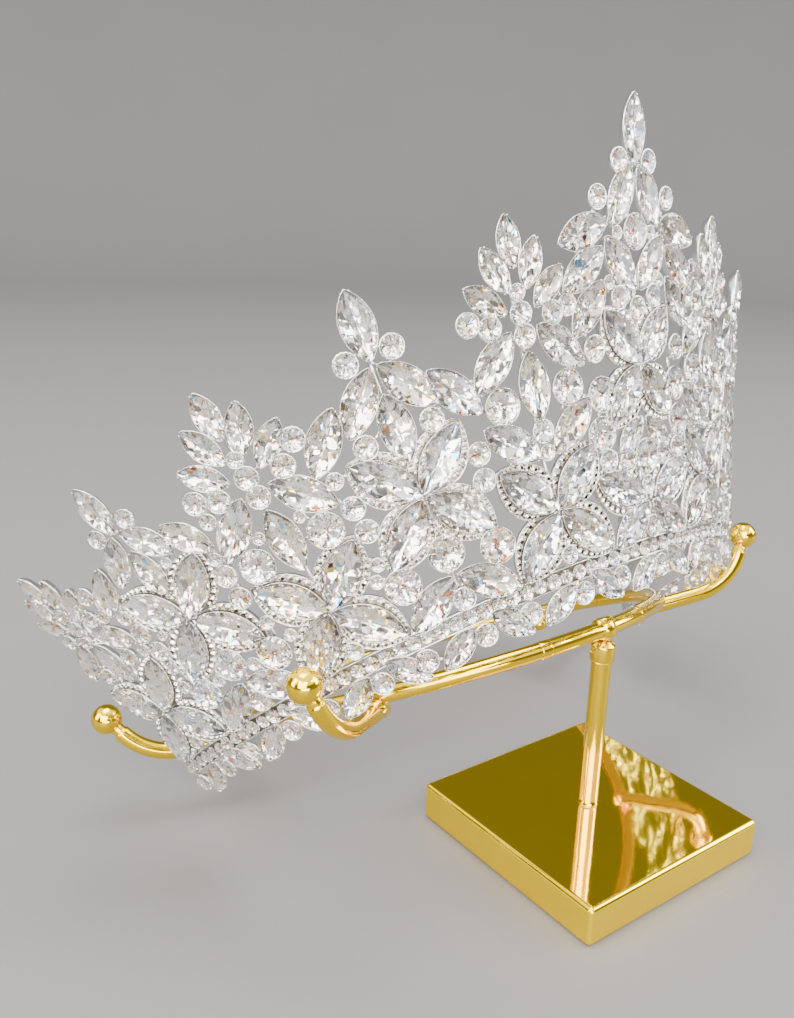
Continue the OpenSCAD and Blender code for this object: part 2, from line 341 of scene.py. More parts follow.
def store(mesh, name, kind, domain, values):
    """Gives a mesh an attribute of its own and fills it."""
    mesh.attributes.new(name, kind, domain)
    for row, value in zip(mesh.attributes[name].data, values):
        setattr(row, "vector" if kind == "FLOAT_VECTOR" else "value", value)


def mesh_from(name, verts, faces, smooth=False, place=None):
    """A mesh from points in millimetres, with its faces turned outwards."""
    mesh = bpy.data.meshes.new(name)
    shape = bmesh.new()
    made = [shape.verts.new((place @ Vector(v) if place else Vector(v)) * MM) for v in verts]
    for face in faces:
        shape.faces.new([made[i] for i in face])
    bmesh.ops.recalc_face_normals(shape, faces=shape.faces[:])
    for face in shape.faces:
        face.smooth = smooth
    shape.to_mesh(mesh)
    shape.free()
    return mesh


def joined(name, *meshes):
    """One mesh from several, which are then removed."""
    shape = bmesh.new()
    for mesh in meshes:
        shape.from_mesh(mesh)
    whole = bpy.data.meshes.new(name)
    shape.to_mesh(whole)
    shape.free()
    for mesh in meshes:
        bpy.data.meshes.remove(mesh)
    return whole


def applied(item):
    """The item's mesh with its modifiers in it, as a plain mesh."""
    return bpy.data.meshes.new_from_object(item.evaluated_get(bpy.context.evaluated_depsgraph_get()))


def circle(radius, z, sides):
    return [(radius * math.cos(2 * PI * k / sides), radius * math.sin(2 * PI * k / sides), z)
            for k in range(sides)]


def ring_faces(a, b):
    return [[a[i], a[(i + 1) % len(a)], b[(i + 1) % len(b)], b[i]] for i in range(len(a))]


def stacked(rows):
    """The points of a stack of loops, their numbers loop by loop, and the walls between the loops."""
    verts, loops, walls = [], [], []
    for row in rows:
        loops.append(list(range(len(verts), len(verts) + len(row))))
        verts += row
    for a, b in zip(loops, loops[1:]):
        walls += ring_faces(a, b)
    return verts, loops, walls


def eased(x):
    """0 to 1 in a soft S."""
    x = min(1.0, max(0.0, x))
    return x * x * (3 - 2 * x)


# -------- materials
def polished_gold(name, colour, roughness, haze, brushed=0.0):
    """Gilt, electroplated and buffed: clear reflections with faint wipe marks. Upright faces may be
    brushed instead, which blurs what they mirror."""
    material, tree, shader = new_material(name)
    where = add(tree, "ShaderNodeTexCoord").outputs["Object"]
    wipe = add(tree, "ShaderNodeTexNoise", {"Vector": where, "Scale": per_mm(0.09), "Detail": 4.0,
                                            "Roughness": 0.6})
    spread = add(tree, "ShaderNodeMapRange", {"Value": wipe, "To Min": roughness,
                                              "To Max": roughness + haze})
    wave = add(tree, "ShaderNodeTexNoise", {"Vector": where, "Scale": per_mm(0.24), "Detail": 2.0})
    bump = add(tree, "ShaderNodeBump", {"Height": wave, "Strength": 0.03, "Distance": 0.0004})
    tint = add(tree, "ShaderNodeMix", {0: wipe, 6: colour, 7: "#FFDA1A"}, data_type="RGBA")
    normal = add(tree, "ShaderNodeNewGeometry").outputs["True Normal"]
    upward = add(tree, "ShaderNodeSeparateXYZ", {0: normal}).outputs[2]
    side = add(tree, "ShaderNodeMath", {0: upward, 1: 0.3}, operation="LESS_THAN")
    rough = add(tree, "ShaderNodeMath", {0: side, 1: brushed, 2: spread}, operation="MULTIPLY_ADD")
    fill(tree, shader, {"Base Color": tint.outputs[2], "Metallic": 1.0, "Roughness": rough, "Normal": bump})
    return material


def silver_plate():
    """Rhodium-bright plating on cast settings: pale, and slightly soft from the casting. The grain is
    drawn at 1.1 mm, coarser than real casting grain, so that it shows."""
    material, tree, shader = new_material("silver_plate_cast")
    where = add(tree, "ShaderNodeTexCoord").outputs["Object"]
    grain = add(tree, "ShaderNodeTexNoise", {"Vector": where, "Scale": per_mm(0.9), "Detail": 3.0})
    spread = add(tree, "ShaderNodeMapRange", {"Value": grain, "To Min": 0.14, "To Max": 0.3})
    bump = add(tree, "ShaderNodeBump", {"Height": grain, "Strength": 0.08, "Distance": 0.0003})
    fill(tree, shader, {"Base Color": "#F1F0EC", "Metallic": 1.0, "Roughness": spread, "Normal": bump})
    return material


def shaded_pave_seat():
    """The same plating, matt and darkened with painted shade between the chips, so that they read one by
    one. Its grain too is drawn coarser than it is."""
    material, tree, shader = new_material("silver_plate_painted_shade_seat")
    where = add(tree, "ShaderNodeTexCoord").outputs["Object"]
    grain = add(tree, "ShaderNodeTexNoise", {"Vector": where, "Scale": per_mm(1.5), "Detail": 2.0})
    # painted shade: a darker silver than the plating, where shade falls between the chips
    tone = add(tree, "ShaderNodeMix", {0: grain, 6: "#857B6F", 7: "#A89E91"}, data_type="RGBA")
    fill(tree, shader, {"Base Color": tone.outputs[2], "Metallic": 1.0, "Roughness": 0.38})
    return material


def cut_crystal():
    """Lead crystal, machine cut: water clear with sharp facets. Its IOR is matched, and is below
    lead crystal's 1.55 because these stones are shallow and lie close over their foil."""
    material, tree, shader = new_material("lead_crystal_cut")
    fill(tree, shader, {"Base Color": "#FCFDFF", "Roughness": 0.0, "IOR": 1.32, "Transmission Weight": 1.0})
    return material


def crystal_foil():
    """Silver foil behind the stones. A brilliant cut shows each back facet many times over, so the foil
    is broken into flat patches of about 2 mm, each with its own tilt and a painted shade, from white to the
    grey of a facet that mirrors something dark, and a few carry a painted spectral flash. A faint glow
    stands in for the light that a real stone's inner reflections gather."""
    material, tree, shader = new_material("crystal_foil_back")
    facet, stone, painted_heart_shade = (add(tree, "ShaderNodeAttribute", attribute_name=name).outputs["Fac"]
                           for name in ("facet", "spark", "painted_heart_shade"))
    where = add(tree, "ShaderNodeTexCoord").outputs["Object"]
    patch = add(tree, "ShaderNodeTexVoronoi", {"Vector": where, "W": facet, "Scale": per_mm(0.52),
                                               "Randomness": 1.0},
                voronoi_dimensions="4D", feature="F1", distance="CHEBYCHEV").outputs["Color"]
    pair = add(tree, "ShaderNodeVectorMath", {0: patch, 1: stone}, operation="ADD")
    pick = add(tree, "ShaderNodeTexWhiteNoise", {"Vector": pair}, noise_dimensions="3D")
    # painted shade and light: the grey stops stand for facets that mirror something dark, the coloured ones
    # for painted spectral flashes
    shade = add(tree, "ShaderNodeValToRGB", {0: pick.outputs["Value"]}, ramp=("CONSTANT", [
        (0.0, "#FFFFFF"), (0.46, "#FBF9F6"), (0.60, "#FFF6E4"), (0.74, "#DAD6D3"), (0.80, "#F8E7CB"),
        (0.865, "#A39D9A"), (0.905, "#FBEFD2"), (0.94, "#D2824F"), (0.96, "#7B716B"), (0.972, "#7CC8F6"),
        (0.982, "#F8E26A"), (0.992, "#EFB4C6")]))
    warmth = add(tree, "ShaderNodeMix", {0: stone, 6: "#FFFAF1", 7: "#FBFCFF"}, data_type="RGBA")
    tint = add(tree, "ShaderNodeMix", {0: 1.0, 6: shade, 7: warmth.outputs[2]}, data_type="RGBA",
               blend_type="MULTIPLY")
    # painted shade: a dark warm reflection in the middle of round stones
    whole = add(tree, "ShaderNodeMix", {0: painted_heart_shade, 6: tint.outputs[2], 7: "#A9744E"}, data_type="RGBA")
    centred = add(tree, "ShaderNodeVectorMath", {0: patch, 1: (0.5, 0.5, 0.5)}, operation="SUBTRACT")
    tilt = add(tree, "ShaderNodeVectorMath", {0: centred, "Scale": 0.52}, operation="SCALE")
    flat = add(tree, "ShaderNodeNewGeometry").outputs["Normal"]
    leaned = add(tree, "ShaderNodeVectorMath", {0: flat, 1: tilt}, operation="ADD")
    facing = add(tree, "ShaderNodeVectorMath", {0: leaned}, operation="NORMALIZE")
    fill(tree, shader, {"Base Color": whole.outputs[2], "Metallic": 1.0, "Roughness": 0.07,
                        "Normal": facing, "Emission Color": whole.outputs[2], "Emission Strength": 0.09})
    return material


def chip_crystal():
    """The smallest foiled chips, too small to see into, drawn as plain metal: a faceted ring bright with
    painted highlights round a darker table of painted shade.
    """
    material, tree, shader = new_material("crystal_chip_painted_light")
    facet, stone = (add(tree, "ShaderNodeAttribute", attribute_name=name).outputs["Fac"]
                    for name in ("facet", "spark"))
    pair = add(tree, "ShaderNodeCombineXYZ", {0: facet, 1: stone})
    pick = add(tree, "ShaderNodeTexWhiteNoise", {"Vector": pair}, noise_dimensions="3D")
    # painted highlights: the ring's facets in near whites
    side = add(tree, "ShaderNodeValToRGB", {0: pick.outputs["Value"]}, ramp=(
        "CONSTANT", [(0.0, "#FFFDF8"), (0.55, "#F3EADB"), (0.85, "#C9BFB2")]))
    # painted shade: the table in dark greys and browns
    middle = add(tree, "ShaderNodeValToRGB", {0: pick.outputs["Value"]}, ramp=(
        "CONSTANT", [(0.0, "#86766A"), (0.4, "#C6B9A9"), (0.75, "#54483F")]))
    # the first face of a stone is its table
    table = add(tree, "ShaderNodeMath", {0: facet, 1: 1.1}, operation="LESS_THAN")
    whole = add(tree, "ShaderNodeMix", {0: table, 6: side, 7: middle}, data_type="RGBA")
    fill(tree, shader, {"Base Color": whole.outputs[2], "Metallic": 1.0, "Roughness": 0.16})
    return material


GOLD_ROD = polished_gold("gilt_rod_buffed", "#F9CA02", 0.07, 0.08)
GOLD_BASE = polished_gold("gilt_base_mirror", "#F6D010", 0.03, 0.04, 0.38)
SILVER = silver_plate()
SHADED_SEAT = shaded_pave_seat()
CRYSTAL = cut_crystal()
FOIL = crystal_foil()
CHIP = chip_crystal()


# -------- cut stones and their settings
# a kind's piece, its slot, and the CAD nodes that it replaces
PIECES = {
    PETAL: ("petal_crystals", "petals", "petal_stones"),
    NAVETTE: ("navette_crystals", "navettes", "navette_stones"),
    LEAF: ("leaf_crystals", "leaves", "leaf_stones"),
    ROUND: ("round_crystals", "rounds", "round_stones"),
    DOT: ("dot_crystals", "dots", "dot_stones"),
    BEAD: ("small_crystals", "dots"),
    TINY: ("tiny_crystals", "dots"),
}
# a kind's cut: width, length, height over the girdle, depth under it, and whether its ends are pointed
CUTS = {
    PETAL: (PETAL_W, PETAL_L, 1.35, 1.0, True),
    NAVETTE: (NAVETTE_W, NAVETTE_L, 1.3, 0.95, True),
    LEAF: (LEAF_W, LEAF_L, 1.05, 0.75, True),
    ROUND: (ROUND_D, ROUND_D, 1.2, 1.15, False),
    DOT: (DOT_D, DOT_D, 0.85, 0.8, False),
    BEAD: (BEAD_D, BEAD_D, 0.85, 0.8, False),
    TINY: (TINY_D, TINY_D, 0.6, 0.55, False),
}


def outline(phi, width, length, pointed):
    """A point of a stone's outline; phi 0 is its top. A navette's ends are pointed, but blunt."""
    side = math.sin(phi)
    return (width / 2 * side * (abs(side) ** 0.64 if pointed else 1.0), length / 2 * math.cos(phi))


def outline_loop(width, length, pointed, z, count):
    return [outline(2 * PI * k / count, width, length, pointed) + (z,) for k in range(count)]


def cut_stone(name, width, length, crown, depth, pointed, girdle=GIRDLE, table=0.56, plain_cut=False):
    """A brilliant cut: table, stars, kites and halves over a foiled pavilion. A plain cut has fewer
    facets. Its faces carry what the materials read: foil, facet (a number each) and painted_heart_shade (a
    darker warm star in the middle of round stones, a painted dark reflection)."""
    verts, faces, foil, painted_heart_shades = [], [], [], {}

    def point(phi, rho, z):
        x, y = outline(phi, width, length, pointed)
        verts.append((x * rho, y * (rho ** 0.7 if pointed else rho), z))
        return len(verts) - 1

    def slope(rho, edge):
        """How far a facet that starts at the girdle has come at rho, if it ends at edge."""
        return (1 - rho * math.cos(step / 2)) / (1 - edge)

    def cut(foiled, *made):
        faces.extend(made)
        foil.extend([foiled] * len(made))

    step = 2 * PI / FOLDS
    top = [point(k * step, table, girdle + crown) for k in range(FOLDS)]
    upper = [point(k * step / 2, 1, girdle) for k in range(FOLDS * 2)]
    lower = upper if plain_cut else [point(k * step / 2, 1, girdle - 0.12) for k in range(FOLDS * 2)]
    culet = point(0, 0, girdle - depth)
    cut(False, top)
    if not plain_cut:
        mid = [point((k + 0.5) * step, STARS, girdle + crown * slope(STARS, table)) for k in range(FOLDS)]
        deep = [point((k + 0.5) * step, MAINS, girdle - depth * slope(MAINS, 0)) for k in range(FOLDS)]
        cap = [point(k * step, TIP, girdle - depth * TIP_DEEP) for k in range(FOLDS)]
    for k in range(FOLDS):
        n = (k + 1) % FOLDS
        a, b, c = 2 * k, 2 * k + 1, (2 * k + 2) % (2 * FOLDS)
        if plain_cut:
            cut(False, [top[k], upper[a], upper[b]], [top[k], upper[b], top[n]],
                [top[n], upper[b], upper[c]])
            cut(True, [lower[a], lower[b], lower[c], culet])
            continue
        cut(False, [top[k], top[n], mid[k]], [top[k], mid[k - 1], upper[a], mid[k]],
            [mid[k], upper[a], upper[b]], [mid[k], upper[b], upper[c]])
        cut(True, [cap[k], deep[k - 1], lower[a], deep[k]], [deep[k], lower[a], lower[b]],
            [deep[k], lower[b], lower[c]], [culet, cap[k], cap[n]], [cap[k], deep[k], cap[n]])
        # the facets round a round stone's tip carry a painted dark reflection
        if not pointed:
            painted_heart_shades[len(faces) - 2] = 0.8
            painted_heart_shades[len(faces) - 1] = 0.3 if k % 2 else 0.0
    if not plain_cut:
        cut(False, *ring_faces(upper, lower))
    mesh = mesh_from(name, verts, faces)
    store(mesh, "foil", "BOOLEAN", "FACE", foil)
    store(mesh, "facet", "FLOAT", "FACE", [1 + i * 0.37 for i in range(len(foil))])
    store(mesh, "painted_heart_shade", "FLOAT", "FACE", [painted_heart_shades.get(i, 0.0) for i in range(len(foil))])
    return make_object(name, mesh)


def profile_cup(name, rows, smooth=True):
    """A closed cup from a stack of loops, each a list of points."""
    verts, loops, faces = stacked(rows)
    mesh = mesh_from(name, verts, faces + [loops[0], loops[-1]], smooth)
    for face in mesh.polygons:
        if len(face.vertices) > 4:
            face.use_smooth = False
    return mesh


def cup_loops(width, length, pointed, back, top, rim, count):
    """Outer wall, rolled lip and hollow of one setting."""
    rows = [(-1.3, back), (-1.15, back + 0.1), (rim - 0.3, top - 1.0), (rim - 0.02, top - 0.3),
            (rim, top - 0.12), (rim - 0.08, top), (0.02, top - 0.06), (-0.05, top - 0.4),
            (-1.2, back + 0.3)]
    return [outline_loop(width + 2 * grow, length + 2 * grow, pointed, z, count) for grow, z in rows]


def claws(name, places, radius, sides=6):
    """Small rounded claws over the stone's edge."""
    verts, faces = [], []
    for x, y, z in places:
        base = len(verts)
        verts.append((x, y, z + radius))
        for up, wide in ((0.5, 0.8), (-1.2, 0.9)):
            verts += [(x + a, y + b, z + radius * up) for a, b, _ in circle(radius * wide, 0, sides)]
        for i in range(sides):
            a, b = base + 1 + i, base + 1 + (i + 1) % sides
            faces += [[base, a, b], [a, b, b + sides, a + sides]]
        faces.append([base + 1 + sides + i for i in range(sides)])
    return mesh_from(name, verts, faces, True)


def claw_spots(width, length, z, phi):
    """Two claws beside each point of a navette."""
    return [outline(p, width + 0.1, length + 0.3, True) + (z,) for p in (phi, PI - phi, PI + phi, -phi)]


def setting(name, width, length, pointed, rim):
    """One stone's setting: a cup with a rolled lip, and four claws."""
    large = width > 5
    cup = profile_cup(name + "_cup", cup_loops(width, length, pointed, BACK, GIRDLE + 0.08, rim,
                                               32 if large else 16))
    if pointed:
        spots = claw_spots(width, length, GIRDLE + 0.06, 0.42)
    else:
        spots = [outline(k * PI / 2 + 0.6, width + 0.05, length + 0.05, False) + (GIRDLE + 0.06,)
                 for k in range(4)]
    return make_object(name, joined(name, cup, claws(name + "_claws", spots, 0.24 if large else 0.19)))


def petal_edge(t, off):
    """A point of a line round the petal stone, off outside it. t runs from 0 to 1, starting at the outer
    tip. The border fades to a tenth of its width towards the hub."""
    phi = 2 * PI * t
    x, y = outline(phi, PETAL_W, PETAL_L, True)
    far_x, far_y = outline(phi, PETAL_W + 2 * BORDER_SIDE, PETAL_L + 2 * BORDER_TIP, True)
    k = off / BORDER_SIDE * (0.1 + 0.9 * eased((y / PETAL_L + 0.5 - 0.06) / 0.3))
    return (x + (far_x - x) * k, y + (far_y - y) * k)


def petal_loop(off, z, sink=0.0, count=48):
    """A loop round the petal at one height. With sink it drops near the hub, where four stones meet."""
    loop = []
    for k in range(count):
        x, y = petal_edge(k / count, off)
        loop.append((x, y, z - sink * eased((-0.1 - y / PETAL_L) / 0.25)))
    return loop


def petal_plate():
    """The seat of a petal's pave border: matt silver darkened with painted shade in front, open in the
    middle, bright behind.
    """
    mesh = profile_cup("petal_plate", [petal_loop(off, z) for off, z in (
        (-0.9, BACK), (BORDER_SIDE - 0.5, BACK + 0.1), (BORDER_SIDE - 0.1, 0.0),
        (BORDER_SIDE - 0.12, BORDER_FLOOR), (0.15, BORDER_FLOOR), (-0.1, BORDER_FLOOR - 0.1),
        (-1.0, BACK + 0.25))])
    store(mesh, "foil", "BOOLEAN", "FACE", [face.normal.z < 0.5 for face in mesh.polygons])
    return make_object("petal_plate", mesh)


def petal_setting():
    """A petal stone's own cup and claws, the bright edge of its border, and the grains between chips."""
    cup = profile_cup("petal_cup", cup_loops(PETAL_W, PETAL_L, True, BACK + 0.1, GIRDLE + 0.06, 0.13, 48))
    verts, loops, faces = stacked([petal_loop(BORDER_SIDE + off, z, 0.6) for off, z in (
        (-0.28, -0.2), (0.0, -0.2), (0.02, BORDER_FLOOR + 0.3), (-0.08, BORDER_FLOOR + 0.4),
        (-0.22, BORDER_FLOOR + 0.3))])
    edge = mesh_from("petal_rim", verts, faces + ring_faces(loops[-1], loops[0]), True)
    spots = claw_spots(PETAL_W, PETAL_L, GIRDLE + 0.04, 0.4)
    chips = border_chips()
    grains = [petal_edge((one[0] + two[0]) / 2, BORDER_SIDE * side) + (BORDER_FLOOR + 0.14,)
              for one, two in zip(chips, chips[1:]) if two[0] - one[0] < 0.08 for side in (0.16, 0.86)]
    whole = joined("petal_setting", cup, edge, claws("petal_claws", spots, 0.24),
                   claws("petal_grains", grains, 0.15, 4))
    return make_object("petal_setting", whole)


def border_chips(samples=720):
    """The border's one row of chips, each as wide as the border there: [(t, x, y, diameter)]."""
    chips, gone = [], 0.0
    last = petal_edge(0, BORDER_SIDE * 0.5)
    for i in range(1, samples + 1):
        t = i / samples
        spot = petal_edge(t, BORDER_SIDE * 0.5)
        gone += math.dist(spot, last)
        last = spot
        width = min(CHIP_D, 0.92 * math.dist(petal_edge(t, 0.0), petal_edge(t, BORDER_SIDE)))
        before = chips[-1][3] if chips else width
        if width > 0.8 and gone >= (before + width) / 2 + 0.04:
            chips.append((t, *spot, width))
            gone = 0.0
    return chips


# -------- Geometry Nodes: a tree for what repeats
def placing_tree():
    """Sets a piece on each point, turned and sized by the point's own values. Size scales all of them,
    Seed deals each its own spark, and faces marked foil get the Back material."""
    tree = bpy.data.node_groups.new("set_on_points", "GeometryNodeTree")
    face = tree.interface
    face.new_socket("Geometry", in_out="OUTPUT", socket_type="NodeSocketGeometry")
    sockets = (("Geometry", "Geometry", None), ("Piece", "Object", None), ("Size", "Float", 1.0),
               ("Seed", "Int", 7), ("Front", "Material", None), ("Back", "Material", None))
    for label, kind, value in sockets:
        socket = face.new_socket(label, in_out="INPUT", socket_type="NodeSocket" + kind)
        if value is not None:
            socket.default_value = value
    enter = add(tree, "NodeGroupInput").outputs
    piece = add(tree, "GeometryNodeObjectInfo", {"Object": enter["Piece"]})
    turned, sized, foiled = (
        add(tree, "GeometryNodeInputNamedAttribute", {"Name": name}, data_type=kind)
        for name, kind in (("turned", "FLOAT_VECTOR"), ("sized", "FLOAT"), ("foil", "BOOLEAN")))
    angle = add(tree, "FunctionNodeEulerToRotation", {0: turned})
    scale = add(tree, "ShaderNodeMath", {0: sized, 1: enter["Size"]}, operation="MULTIPLY")
    places = add(tree, "GeometryNodeInstanceOnPoints", {
        "Points": enter["Geometry"], "Instance": piece.outputs["Geometry"], "Rotation": angle,
        "Scale": scale})
    dice = add(tree, "FunctionNodeRandomValue", {"Seed": enter["Seed"]}, data_type="FLOAT")
    spark = add(tree, "GeometryNodeStoreNamedAttribute", {
        "Geometry": places, "Name": "spark", "Value": dice.outputs[1]},
                data_type="FLOAT", domain="INSTANCE")
    real = add(tree, "GeometryNodeRealizeInstances", {"Geometry": spark})
    front = add(tree, "GeometryNodeSetMaterial", {"Geometry": real, "Material": enter["Front"]})
    back = add(tree, "GeometryNodeSetMaterial", {"Geometry": front, "Selection": foiled,
                                                 "Material": enter["Back"]})
    add(tree, "NodeGroupOutput", {0: back})
    return tree


PLACING = placing_tree()


def set_pieces(name, template, places, front, back=None, seed=7):
    """The template on every place, made by the tree and turned into one plain mesh. places: [(matrix,
    size)]. The template is then removed."""
    mesh = bpy.data.meshes.new(name + "_points")
    mesh.from_pydata([tuple(m.to_translation() * MM) for m, _ in places], [], [])
    store(mesh, "turned", "FLOAT_VECTOR", "POINT", [m.to_euler("XYZ") for m, _ in places])
    store(mesh, "sized", "FLOAT", "POINT", [size for _, size in places])
    carrier = make_object(name + "_points", mesh)
    modifier = carrier.modifiers.new("set", "NODES")
    modifier.node_group = PLACING
    values = {"Piece": template, "Size": 1.0, "Seed": seed, "Front": front, "Back": back or front}
    for socket in PLACING.interface.items_tree:
        if socket.in_out == "INPUT" and socket.name != "Geometry":
            modifier[socket.identifier] = values[socket.name]
    bpy.context.view_layer.update()
    whole = applied(carrier)
    whole.name = name
    carrier.modifiers.remove(modifier)
    discard(carrier)
    discard(template)
    if whole.materials[0] is None:
        numbers = [face.material_index - 1 for face in whole.polygons]
        whole.materials.pop(index=0)
        whole.polygons.foreach_set("material_index", numbers)
    return make_object(name, whole)


# -------- swept and turned shapes
def sweep(name, path, radii, sides=24, closed=False, place=None):
    """A round rod along a path. radii is one radius, or one for each point."""
    points = [Vector(p) for p in path]
    count = len(points)
    rows, normal = [], None
    for i, p in enumerate(points):
        a = points[i - 1] if (closed or i) else p
        b = points[(i + 1) % count] if (closed or i < count - 1) else p
        along = (b - a).normalized()
        if normal is None:
            normal = along.orthogonal().normalized()
        normal = (normal - along * normal.dot(along)).normalized()
        side = along.cross(normal)
        r = radii[i] if isinstance(radii, (list, tuple)) else radii
        rows.append([tuple(p + (normal * x + side * y) * r) for x, y, _ in circle(1, 0, sides)])
    verts, loops, faces = stacked(rows)
    if closed:
        # the frame may come round turned, so the last loop meets the first at its nearest point
        last, first = loops[-1], loops[0]
        gap = min(range(sides), key=lambda k: (Vector(verts[first[k]]) - Vector(verts[last[0]])).length)
        faces += ring_faces(last, first[gap:] + first[:gap])
    else:
        faces += [loops[0], loops[-1]]
    return mesh_from(name, verts, faces, True, place)


def lathe(name, profile, sides=48, place=None):
    """A turned piece: profile is [(radius, height)] from its foot to its top."""
    verts, loops, faces = stacked([circle(r, z, sides) for r, z in profile])
    return mesh_from(name, verts, faces + [loops[0], loops[-1]], True, place)


def ball(name, centre, radius, place, rings=20, sides=32):
    profile = [(max(0.02, radius * math.sin(PI * i / rings)), -radius * math.cos(PI * i / rings))
               for i in range(rings + 1)]
    return lathe(name, profile, sides, place @ shift(*centre))


# -------- the stand
def build_base():
    """A square block, polished on top and brushed at its sides, with rolled edges."""
    half = BASE_SIDE / 2
    corners = ((-1, -1), (1, -1), (1, 1), (-1, 1))
    mesh = mesh_from("base", [(x * half, y * half, z) for z in (0.0, BASE_T) for x, y in corners],
                     [[0, 1, 2, 3], [4, 5, 6, 7]] + ring_faces([0, 1, 2, 3], [4, 5, 6, 7]), True)
    base = make_object("mirror_base", mesh, GOLD_BASE)
    bevel = base.modifiers.new("edge", "BEVEL")
    bevel.width = 1.25 * MM
    bevel.segments = 4
    bevel.harden_normals = True
    whole = applied(base)
    base.modifiers.clear()
    base.data = whole
    finish_piece(base, "base", "base_plate")


def build_post():
    """A rod with a flat foot disc and a turned collar under the ring."""
    r, top = POST_D / 2, BASE_T + POST_H - POST_GAP
    profile = [(r + 0.12, BASE_T), (r + 0.12, BASE_T + 0.25), (r, BASE_T + 0.45), (r, BASE_T + 1.4),
               (r, top - 5.6), (r, top - 5.3), (r + 0.45, top - 5.1), (r + 0.55, top - 4.8),
               (r + 0.55, top - 1.2), (r + 0.4, top - 0.8), (r - 0.2, top - 0.5), (r - 0.4, top)]
    # two more loops near the ends of the long stretch keep its shading even
    dense = []
    for (r0, z0), (r1, z1) in zip(profile, profile[1:]):
        dense.append((r0, z0))
        if z1 - z0 > 5:
            dense += [(r0, z0 + 0.2), (r1, z1 - 0.2)]
    dense.append(profile[-1])
    finish_piece(make_object("stand_post", lathe("stand_post", dense), GOLD_ROD), "post", "post")


def hook_path():
    """One hook's points and radii, outwards: a domed stub inside the ring, a straight run, a rising bow
    and a slimmer neck. Also where its ball goes."""
    r, start, flat_end = HOOK_ROD / 2, RING_R - HOOK_STUB, RING_R + HOOK_FLAT
    quarter = [PI / 2 * i / 5 for i in range(5, 0, -1)]
    path = [(start - r * math.sin(a), 0, 0) for a in quarter]
    sizes = [max(0.03, r * math.cos(a)) for a in quarter]
    path += [(start + (flat_end - start) * i / 9, 0, 0) for i in range(9)]
    bow = [math.radians(HOOK_BOW) * i / 18 for i in range(19)]
    path += [(flat_end + HOOK_BOW_R * math.sin(a), 0, HOOK_BOW_R * (1 - math.cos(a))) for a in bow]
    sizes += [r] * (9 + 19)
    end, along = Vector(path[-1]), Vector((math.cos(bow[-1]), 0, math.sin(bow[-1])))
    for far, share in ((0.25, 1.0), (0.5, 0.97), (0.62, 0.84), (1.0, 0.8), (4.0, 0.8)):
        path.append(tuple(end + along * far))
        sizes.append(r * share)
    return path, sizes, tuple(end + along * HOOK_NECK)


def hook_meshes(angle):
    """One hook, soldered under the ring, with its ball, its weld and some drops of solder."""
    drop = -(RING_ROD / 2 + HOOK_ROD / 2 - 0.6)
    out = RING_PLACE @ turn("Z", angle - 90)
    place = out @ shift(0, 0, drop)
    path, sizes, tip = hook_path()
    meshes = [sweep("hook_rod", path, sizes, 28, False, place), ball("hook_ball", tip, BALL_D / 2, place),
              lathe("hook_weld", [(0.4, -1.2), (2.6, -0.6), (3.0, 0.6), (2.7, 1.9), (1.4, 2.9)], 24,
                    out @ shift(RING_R, 0, drop + 0.2))]
    rng = random.Random(int(angle * 2))
    for side in (-1, 1, 1):
        spot = (RING_R + rng.uniform(-1.6, 2.4), side * rng.uniform(1.5, 2.1), drop + rng.uniform(0.9, 2.0))
        meshes.append(ball("hook_solder", spot, rng.uniform(0.6, 1.0), out, 10, 14))
    return meshes


def build_cradle():
    """The ring with its hooks, its knuckle on the post, and the two sleeves where its rod is joined."""
    meshes = [sweep("ring", circle(RING_R, 0, 160), RING_ROD / 2, 28, True, RING_PLACE)]
    for angle in HOOKS:
        meshes += hook_meshes(angle)
    knuckle = [(0.5, -2.75), (2.6, -2.2), (2.85, 0), (2.6, 2.3), (1.9, 2.75), (0.3, 2.8)]
    meshes.append(lathe("knuckle", knuckle, 32, RING_PLACE @ shift(0, -RING_R, 0)))
    for at in (-17.5, 14.0):
        turns = [math.radians(at) + k * 0.006 for k in range(-4, 5)]
        meshes.append(sweep("sleeve", [(RING_R * math.sin(a), -RING_R * math.cos(a), 0) for a in turns],
                            [2.1, 2.16, 2.2, 2.2, 2.2, 2.2, 2.2, 2.16, 2.1], 28, False, RING_PLACE))
    cradle = make_object("stand_cradle", joined("stand_cradle", *meshes), GOLD_ROD)
    finish_piece(cradle, "cradle", "cradle")


# -------- the crown
def rim_loops(places, z):
    """The outer edge of each stone's setting, as points in the crown's place."""
    loops = []
    for m, kind, size in places:
        width, length, _, _, pointed = CUTS[kind]
        if kind == PETAL:
            loop = [petal_edge(k / 24, BORDER_SIDE) for k in range(24)]
        else:
            loop = [p[:2] for p in outline_loop(width + 2 * RIM, length + 2 * RIM, pointed, 0, 24)]
        loops.append([m @ Vector((x * size, y * size, z)) for x, y in loop])
    return loops


PLACES = charted_places()
PLACES += filler_places(PLACES, rim_loops(PLACES, 0.0))


def places_of(kind):
    return [(m, size) for m, k, size in PLACES if k == kind]


def build_crystals():
    """The stones of the charts and the filler beads, one piece for each kind."""
    for kind, (name, *slot_and_nodes) in PIECES.items():
        pointed = CUTS[kind][-1]
        stone = cut_stone("cut_" + name, *CUTS[kind], table=0.5 if pointed else 0.56)
        finish_piece(set_pieces(name, stone, places_of(kind), CRYSTAL, FOIL, 11 + kind), *slot_and_nodes)


def settings_of(kind):
    """The settings of one kind of stone."""
    width, length, _, _, pointed = CUTS[kind]
    if kind == PETAL:
        cup = petal_setting()
    else:
        cup = setting("cup_%d" % kind, width, length, pointed, RIM if kind < DOT else SMALL_RIM)
    return set_pieces("settings_%d" % kind, cup, places_of(kind), SILVER)


